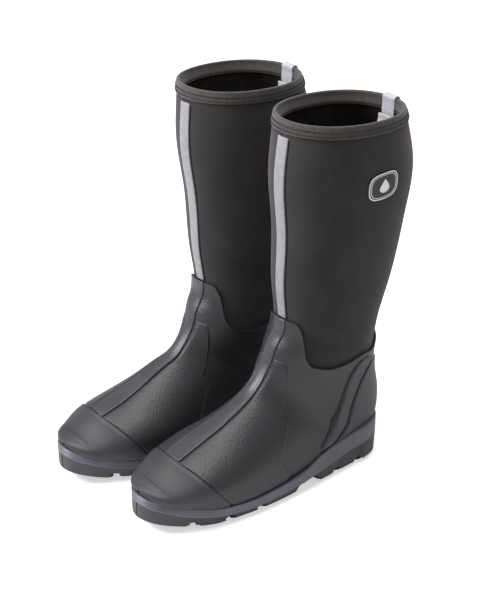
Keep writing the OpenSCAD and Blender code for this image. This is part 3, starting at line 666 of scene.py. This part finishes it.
def cleat(bm, side, rear, front, slant):
    """One cleat: rear and front are its edges' y at the sole's middle line, or None at the end of the
    sole. It narrows towards the ground and its ground edges are chamfered."""
    before = set(bm.faces)
    grid = bmesh.ops.create_grid(bm, x_segments=8, y_segments=6, size=1)["verts"]
    for v in grid:
        u, w = (v.co.x + 1) / 2, (v.co.y + 1) / 2
        x = u * 40
        for _ in range(6):
            r = REAR - LUG_INSET if rear is None else rear + abs(x) * slant
            f = FRONT + LUG_INSET if front is None else front + abs(x) * slant
            y = r + (f - r) * w
            x = u * reach_in(y, side, LUG_INSET)
        v.co = Vector((x, y, tread_z(y))) / 1000
    bottom = [f for f in bm.faces if f not in before]
    up = bmesh.ops.extrude_face_region(bm, geom=bottom)["geom"]
    raised = [g for g in up if isinstance(g, bmesh.types.BMVert)]
    for v in raised:
        y = v.co.y * 1000
        v.co.x *= (1 - ROOT_INSET / SOLE_HALF) / (1 - LUG_INSET / SOLE_HALF)
        y += np.sign(y - MIDDLE) * 6 * smooth(0.78, 0.96, abs(y - MIDDLE) / (REAR - MIDDLE))
        v.co.y, v.co.z = y / 1000, (base_z(y) + 0.6) / 1000
    middle = sum((v.co for v in grid), Vector()) / len(grid)
    for v in grid:
        v.co.y += (middle.y - v.co.y) * 0.05


def cleats(bm):
    for side in (1, -1):
        cuts = [(None, HEEL_CUTS[0], HEEL_TAN), (HEEL_CUTS[0], HEEL_CUTS[1], HEEL_TAN),
                (HEEL_CUTS[1], BREAST_Y - 3, HEEL_TAN), (TREAD_Y + 3, TOE_CUTS[0], TOE_TAN)]
        cuts += [(a, b, TOE_TAN) for a, b in zip(TOE_CUTS, TOE_CUTS[1:] + [None])]
        for rear, front, slant in cuts:
            r = rear if rear in (None, TREAD_Y + 3) else rear - GROOVE_W / 2
            f = front if front in (None, BREAST_Y - 3) else front + GROOVE_W / 2
            cleat(bm, side, r, f, slant)
    bmesh.ops.remove_doubles(bm, verts=bm.verts, dist=1e-6)
    bmesh.ops.recalc_face_normals(bm, faces=bm.faces)


pair("cleats", cleats, tread_rubber, edge=1.1)

# --- Seam tapes ---
# A 15 mm reflective tape is glued over the front and back seams of the leg. A black cord lies along
# one edge of the front tape, where the top stitching runs.
tape, nodes, links, shader = new_finish("reflective_tape", (0.19, 0.19, 0.2), 0.6)
mottle(nodes, links, shader, (0.21, 0.21, 0.222), (0.265, 0.265, 0.28), 0.006, 6)
knit(nodes, links, shader, 0.0007, 0.00012)
shader.inputs["Sheen Weight"].default_value = 0.2
TAPE_HALF, TAPE_TOP, RIM_DROP = 7.0, 0.257, 1 / (0.27 * SHAFT_L)


def tape_lay(mid, end):
    def lay(u, v):
        w = 2 * u - 1
        t = TAPE_TOP + (end - TAPE_TOP) * v
        edge_fall = 0.7 * smooth(0.9, 1.0, np.abs(w))
        return t, mid + w * TAPE_HALF, 1.2 - edge_fall + leg_drape(t, mid + w * TAPE_HALF)
    return lay


pair("front_tape", lambda bm: sheet_on_last(bm, 12, 90, tape_lay(0, TONGUE_T)), tape,
     ["front_seam_tape"], wall=0.9)
pair("back_tape", lambda bm: sheet_on_last(bm, 12, 90, tape_lay(180, galosh_top(180.0) - 0.02)), tape,
     ["back_seam_tape"], wall=0.9)

cord_black, nodes, links, shader = new_finish("seam_cord", (0.008, 0.008, 0.0085), 0.6)
mottle(nodes, links, shader, (0.005, 0.005, 0.0055), (0.011, 0.011, 0.0115), 0.003)


def cord(side):
    """A round cord laid along one edge of the front tape."""
    def lay(u, v):
        t = TAPE_TOP + 0.03 + (TONGUE_T - 0.04 - TAPE_TOP) * v
        r = 0.55 + 0.08 * np.sin(2 * np.pi * 90 * v)
        turn = -2 * np.pi * u * side
        return t, side * (TAPE_HALF + 0.5 + r * np.sin(turn) / 1.05), 0.7 + r * np.cos(turn)
    return lambda bm: sheet_on_last(bm, 8, 270, lay, closed=True)


for boot_side, edge_side in (("left", 1), ("right", -1)):
    pair("seam_cord", cord(edge_side), cord_black, sides=(boot_side,))

# --- Top binding ---
# The top edge is bound with a brown-black folded tape, rolled over the rim and sewn through with two
# rows of zigzag stitches outside and one inside.
BIND_OUT, BIND_IN, BIND_H, CREST, RIM_ROUND, TAPE_W = 1.5, -7.6, 11.5, 1.6, 0.43, 0.042
binding, nodes, links, shader = new_finish("binding_tape", (0.042, 0.036, 0.032), 0.8)
mottle(nodes, links, shader, (0.034, 0.029, 0.026), (0.052, 0.045, 0.04), 0.004, 5)
knit(nodes, links, shader, 0.0009, 0.0003)
shader.inputs["Sheen Weight"].default_value = 0.35
shader.inputs["Sheen Roughness"].default_value = 0.4
shader.inputs["Sheen Tint"].default_value = (0.9, 0.87, 0.95, 1)


def rim_point(a, off, down):
    """A point off mm from the last and down mm below the top edge; above it, straight up."""
    return on_last(np.maximum(down, 0) * RIM_DROP, a, off) + np.stack(
        [0 * off, 0 * off, np.maximum(-down, 0) / 1000], -1)


def binding_path(w):
    """Round the fold: up the outside, over the rim and down the inside; returns offset and drop."""
    side = np.clip(w, 0, 1)
    phi = np.pi * np.clip((side - 0.4) / 0.2, 0, 1)
    down = np.where(side < 0.4, BIND_H * (1 - side / 0.4), 0) + np.where(
        side > 0.6, BIND_H * (side - 0.6) / 0.4, 0) - CREST * power(np.sin(phi), 0.9)
    thin = smooth(BIND_H, 0, down)
    outer, inner = BIND_OUT - 0.9 * thin, BIND_IN + 4.2 * thin
    return (outer + inner) / 2 + (outer - inner) / 2 * power(np.cos(phi), 1.1), down


def bound_rim(bm):
    grid = bmesh.ops.create_grid(bm, x_segments=150, y_segments=44, size=1)["verts"]
    uv = (np.array([v.co[:2] for v in grid]) + 1) / 2
    off, down = binding_path(uv[:, 1])
    points = rim_point(360 * uv[:, 0], off, down)
    lay_map = bm.loops.layers.uv.new("lay")
    for v, p in zip(grid, points):
        v.co = p
    metres = {v: (a * RIM_ROUND, w * TAPE_W) for v, (a, w) in zip(grid, uv)}
    for f in bm.faces:
        for loop in f.loops:
            loop[lay_map].uv = metres[loop.vert]
    bmesh.ops.remove_doubles(bm, verts=grid, dist=2e-5)


pair("top_binding", bound_rim, binding, ["top_binding"], wall=1.3)

thread, nodes, links, shader = new_finish("sewing_thread", (0.01, 0.009, 0.0085), 0.7)
mottle(nodes, links, shader, (0.007, 0.0065, 0.006), (0.014, 0.013, 0.012), 0.002)


def stitch(bm, start, end, out, width):
    """One stitch: a small rounded thread from start to end, standing out of the cloth along out."""
    along = (end - start)
    length = along.length
    x = along.normalized()
    z = (out - out.dot(x) * x).normalized()
    y = z.cross(x)
    turn = Matrix((x, y, z)).transposed().to_4x4()
    size = Matrix.Diagonal((length / 2 * 1.08, width / 2, width / 2 * 0.9, 1))
    bmesh.ops.create_uvsphere(bm, u_segments=6, v_segments=4, radius=1,
                              matrix=Matrix.Translation((start + end) / 2) @ turn @ size)


STITCH_W, STITCH_RISE = 0.0011, 2.2


def zigzag_row(bm, down, off, count, outside=True):
    """A row of zigzag stitches right round the rim, down mm below it."""
    a = np.linspace(0, 360, count + 1)
    d = down + np.where(np.arange(count + 1) % 2, STITCH_RISE / 2, -STITCH_RISE / 2)
    points = rim_point(a, np.full(count + 1, off), d)
    outer = rim_point(a, np.full(count + 1, off + (1 if outside else -1)), d)
    for i in range(count):
        stitch(bm, Vector(points[i]), Vector(points[i + 1]), Vector(outer[i] - points[i]), STITCH_W)


def rim_stitches(bm):
    zigzag_row(bm, 4.6, BIND_OUT - 0.3, 150)
    zigzag_row(bm, 8.8, BIND_OUT + 0.1, 150)
    zigzag_row(bm, 9.0, BIND_IN + 0.3, 140, outside=False)


pair("rim_stitches", rim_stitches, thread, ["binding_stitching"])

# --- Pull tab and pull loop ---
# A strip of ribbed grey webbing is folded over the back of the rim and sewn. From it hangs a loop of
# the same webbing inside the leg, which swings up on its fold to be pulled.
TAB_W, TAB_H, WEB_T, HINGE_DROP, LOOP_L, LOOP_BOW = 19.0, 17.0, 1.3, 15.0, 62.0, 20.0
RIB_PITCH, PICK_PITCH = 0.0016, 0.0009
webbing, nodes, links, shader = new_finish("grey_webbing", (0.44, 0.43, 0.48), 0.75)
where = lay_coordinates(nodes, links, 1, 1)
for_ribs = nodes.new("ShaderNodeTexWave")
for_ribs.bands_direction = "X"
for_ribs.inputs["Scale"].default_value = 0.314 / RIB_PITCH
for_picks = nodes.new("ShaderNodeTexWave")
for_picks.bands_direction = "Y"
for_picks.inputs["Scale"].default_value = 0.314 / PICK_PITCH
web_height = nodes.new("ShaderNodeMath")
web_height.operation = "MULTIPLY_ADD"
web_height.inputs[1].default_value = 0.35
links.new(where, for_ribs.inputs["Vector"])
links.new(where, for_picks.inputs["Vector"])
links.new(for_picks.outputs["Fac"], web_height.inputs[0])
links.new(for_ribs.outputs["Fac"], web_height.inputs[2])
web_bump = nodes.new("ShaderNodeBump")
web_bump.inputs["Strength"].default_value = 0.7
web_bump.inputs["Distance"].default_value = 0.0004
links.new(web_height.outputs[0], web_bump.inputs["Height"])
links.new(web_bump.outputs["Normal"], shader.inputs["Normal"])
mottle(nodes, links, shader, (0.36, 0.355, 0.395), (0.47, 0.46, 0.51), 0.003, 5)

rim_back = on_last(0.0, 180.0, 0.0)
rim_below = on_last(HINGE_DROP * RIM_DROP, 180.0, 0.0)
BACK_TILT = float(np.arctan2(rim_below[1] - rim_back[1], rim_back[2] - rim_below[2]))
TAB_IN = -9.3


def strap_along(bm, path, width, tilt, origin):
    """A strap of webbing width mm wide, swept along a path of (out, up) points in mm; origin is the
    path's zero at the back of the rim, and tilt leans it back with the leg."""
    path = np.array(path, float)
    run = np.concatenate([[0], np.cumsum(np.linalg.norm(np.diff(path, axis=0), axis=1))])
    n = int(run[-1] / 0.8)
    spaced = np.linspace(0, run[-1], n + 1)
    out, up = np.interp(spaced, run, path[:, 0]), np.interp(spaced, run, path[:, 1])
    grid = bmesh.ops.create_grid(bm, x_segments=12, y_segments=n, size=1)["verts"]
    lay_map = bm.loops.layers.uv.get("lay") or bm.loops.layers.uv.new("lay")
    c, s = np.cos(tilt), np.sin(tilt)
    metres = {}
    for v in grid:
        j = round((v.co.y + 1) / 2 * n)
        metres[v] = (v.co.x * width / 2000, spaced[j] / 1000)
        y, z = out[j] * c - up[j] * s, out[j] * s + up[j] * c
        v.co = Vector(origin) + Vector((v.co.x * width / 2, y, z)) / 1000
    for f in {f for v in grid for f in v.link_faces}:
        for loop in f.loops:
            loop[lay_map].uv = metres[loop.vert]


def tab(bm):
    over = [(-1.2 + 4.2 * np.cos(k), 3.6 * np.sin(k)) for k in np.linspace(0, np.pi, 16)]
    path = [(3.9, -TAB_H), (3.8, -8), (3.2, -2)] + over
    path += [(-6.6, -4), (-9.6, -12), (TAB_IN - WEB_T, -TAB_H)]
    strap_along(bm, path, TAB_W, BACK_TILT, rim_back)
    bmesh.ops.reverse_faces(bm, faces=bm.faces)


pair("pull_tab", tab, webbing, ["pull_tab"], wall=WEB_T, edge=0.3)

HINGE_Y = TAB_IN - WEB_T - 3.2
HINGE = np.array([0, HINGE_Y * np.cos(BACK_TILT) + HINGE_DROP * np.sin(BACK_TILT),
                  HINGE_Y * np.sin(BACK_TILT) - HINGE_DROP * np.cos(BACK_TILT)]) / 1000 + rim_back


def loop_middle(f):
    s = np.sin(f) * np.sin(f / 2) ** 2
    return -LOOP_BOW * 1.3 * np.where(s > 0, s, s * 0.12), -LOOP_L / 2 * (1 - np.cos(f)) - 1.6


def loop(bm):
    f = np.radians(np.linspace(26, 334, 90))
    y, z = loop_middle(f)
    path = [(-0.55, 0.6)] + list(zip(y, z)) + [(0.55, 0.6)]
    strap_along(bm, path, TAB_W, 0, HINGE)


loops = pair("pull_loop", loop, webbing, ["pull_loop"], body="pull_loop", edge=0.25)
for piece in loops.values():
    m = piece.modifiers.new("wall", "SOLIDIFY")
    m.thickness, m.offset = WEB_T / 1000, 0

# --- Badge ---
# A thin rubber badge with rounded corners is welded to the outer side of the leg. It is printed with a
# double white border and a plain drop.
BADGE_T, BADGE_A, BADGE_TURN, BADGE_RISE, BADGE_SKEW = 1.1, 94.0, 13.0, 15 * RIM_DROP, 0.1
badge_black, nodes, links, shader = new_finish("badge_black", (0.02, 0.02, 0.022), 0.5)
mottle(nodes, links, shader, (0.016, 0.016, 0.018), (0.024, 0.024, 0.026), 0.01)
badge_white, nodes, links, shader = new_finish("badge_white_print", (0.75, 0.75, 0.76), 0.5)
mottle(nodes, links, shader, (0.68, 0.68, 0.69), (0.78, 0.78, 0.79), 0.004)


def on_badge(r, f, height, rounded=True):
    """A point r of the way from the badge's middle to its edge, in direction f."""
    square = (np.abs(np.cos(f)) ** 3 + np.abs(np.sin(f)) ** 3) ** (-1 / 3) if rounded else 1
    up, out = r * np.cos(f) * square, r * np.sin(f) * square
    t = BADGE_T - BADGE_RISE * (up + BADGE_SKEW * out)
    return t, BADGE_A + BADGE_TURN * out, 0 * r + height


def face_outwards(bm):
    """Turns every face that looks in towards the leg."""
    bm.normal_update()
    bmesh.ops.reverse_faces(bm, faces=[f for f in bm.faces if f.normal.x < 0])


def badge_plate(bm):
    sheet_on_last(bm, 48, 10, lambda u, v: on_badge(1 - v, -2 * np.pi * u, 1.2 + 0 * u), closed=True)
    face_outwards(bm)


def badge_print(bm):
    for edge, width in ((0.96, 0.07), (0.82, 0.035)):
        sheet_on_last(bm, 64, 2, lambda u, v: on_badge(
            edge - width * v, -2 * np.pi * u, 1.5 + 0 * u), closed=True)

    def drop(u, v):
        f = 2 * np.pi * u
        x, y = -0.42 * np.sin(f) * np.sin(f / 2) ** 1.4, 0.5 * np.cos(f) + 0.02
        return on_badge((1 - v) * np.hypot(x, y), np.arctan2(x, y), 1.5 + 0 * u, False)
    sheet_on_last(bm, 40, 6, drop, closed=True)
    face_outwards(bm)


pair("badge_plate", badge_plate, badge_black, ["badge"], wall=0.9, edge=0.25)
pair("badge_print", badge_print, badge_white, wall=0.3)

# --- Footbed and inner parts ---
# A loose footbed lies in the foot: moulded foam under a dark cloth cover. Below it are the fibre insole
# board and the steel shank, and inside the walls a toe puff and a heel stiffener.
foam, nodes, links, shader = new_finish("footbed_foam", (0.05, 0.05, 0.055), 0.9)
mottle(nodes, links, shader, (0.035, 0.035, 0.04), (0.06, 0.06, 0.066), 0.004)
cover, nodes, links, shader = new_finish("footbed_cover_cloth", (0.04, 0.04, 0.045), 0.95)
mottle(nodes, links, shader, (0.03, 0.03, 0.034), (0.046, 0.046, 0.052), 0.01)
knit(nodes, links, shader, 0.0016, 0.0003)


def bed(off, half):
    return lambda bm: sheet_on_last(
        bm, 24, 90, lambda u, v: (7.65 + 5.9 * v, 180 + half * (2 * u - 1), off + 0 * u))


beds = pair("footbed_foam_pad", bed(-7.1, 34), foam, ["footbed_foam"], "footbed",
            wall=4.5, edge=1)
pair("footbed_cover_cloth", bed(-11.9, 31), cover, ["footbed_cover"], "footbed",
     wall=0.9)

board, nodes, links, shader = new_finish("insole_board", (0.42, 0.34, 0.24), 0.85)
mottle(nodes, links, shader, (0.36, 0.28, 0.2), (0.46, 0.38, 0.28), 0.003, 6)
steel, nodes, links, shader = new_finish("shank_steel", (0.55, 0.56, 0.58), 0.35)
shader.inputs["Metallic"].default_value = 1
mottle(nodes, links, shader, (0.5, 0.51, 0.53), (0.6, 0.61, 0.63), 0.004, 6)
puff, nodes, links, shader = new_finish("stiffener_board", (0.4, 0.34, 0.26), 0.8)
mottle(nodes, links, shader, (0.34, 0.29, 0.22), (0.44, 0.38, 0.3), 0.004, 6)
for side in SIDES:
    for node, finish in (("insole_board", board), ("shank", steel), ("toe_puff", puff),
                         ("heel_stiffener", puff)):
        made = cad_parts[f"{side}_{node}"]
        made.data.materials.clear()
        made.data.materials.append(finish)

# --- Floor, light and camera ---
# The pair stands on a plain pale floor in soft studio light, seen from its front left above.
floor_mesh = bpy.data.meshes.new("floor")
bm = bmesh.new()
bmesh.ops.create_grid(bm, x_segments=1, y_segments=1, size=9)
bmesh.ops.translate(bm, vec=(0, 0, -0.0002), verts=bm.verts)
bm.to_mesh(floor_mesh)
bm.free()
floor_paint, nodes, links, shader = new_finish("pale_floor", (0.86, 0.86, 0.86), 0.9)
mottle(nodes, links, shader, (0.85, 0.85, 0.85), (0.87, 0.87, 0.87), 0.5)
path_kind = nodes.new("ShaderNodeLightPath")
glow = nodes.new("ShaderNodeMath")
glow.operation = "MULTIPLY"
glow.inputs[1].default_value = 0.55
shader.inputs["Emission Color"].default_value = (1, 1, 1, 1)
links.new(path_kind.outputs["Is Camera Ray"], glow.inputs[0])
links.new(glow.outputs[0], shader.inputs["Emission Strength"])
floor_mesh.materials.append(floor_paint)
floor = bpy.data.objects.new("floor", floor_mesh)
bpy.context.scene.collection.objects.link(floor)

AIM = Vector((0.0134, 0.0055, 0.2))


def softbox(name, place, power, size, colour=(1, 1, 1)):
    lamp = bpy.data.lights.new(name, "AREA")
    lamp.shape, lamp.size, lamp.energy, lamp.color = "DISK", size, power, colour
    held = bpy.data.objects.new(name, lamp)
    held.location = place
    held.rotation_euler = (AIM - Vector(place)).to_track_quat("-Z", "Y").to_euler()
    bpy.context.scene.collection.objects.link(held)


softbox("key_light", (-0.9, -1.5, 1.5), 52, 0.9)
softbox("top_light", (0.2, -0.2, 2.2), 34, 1.4)
studio = bpy.data.worlds.new("studio")
studio.use_nodes = True
studio.node_tree.nodes["Background"].inputs["Color"].default_value = (1, 1, 1, 1)
studio.node_tree.nodes["Background"].inputs["Strength"].default_value = 0.42
bpy.context.scene.world = studio
bpy.context.scene.view_settings.view_transform = "Standard"

AZIMUTH, ELEVATION, DISTANCE, LENS = np.radians(54.2), np.radians(24.6), 1.6152, 89.35
camera_data = bpy.data.cameras.new("camera")
camera_data.lens, camera_data.sensor_width = LENS, 36
camera_data.shift_x, camera_data.shift_y = 0.0037, -0.0012
camera = bpy.data.objects.new("camera", camera_data)
camera.location = AIM + DISTANCE * Vector((
    np.sin(AZIMUTH) * np.cos(ELEVATION), -np.cos(AZIMUTH) * np.cos(ELEVATION), np.sin(ELEVATION)))
camera.rotation_euler = (AIM - camera.location).to_track_quat("-Z", "Y").to_euler()
bpy.context.scene.collection.objects.link(camera)
bpy.context.scene.camera = camera
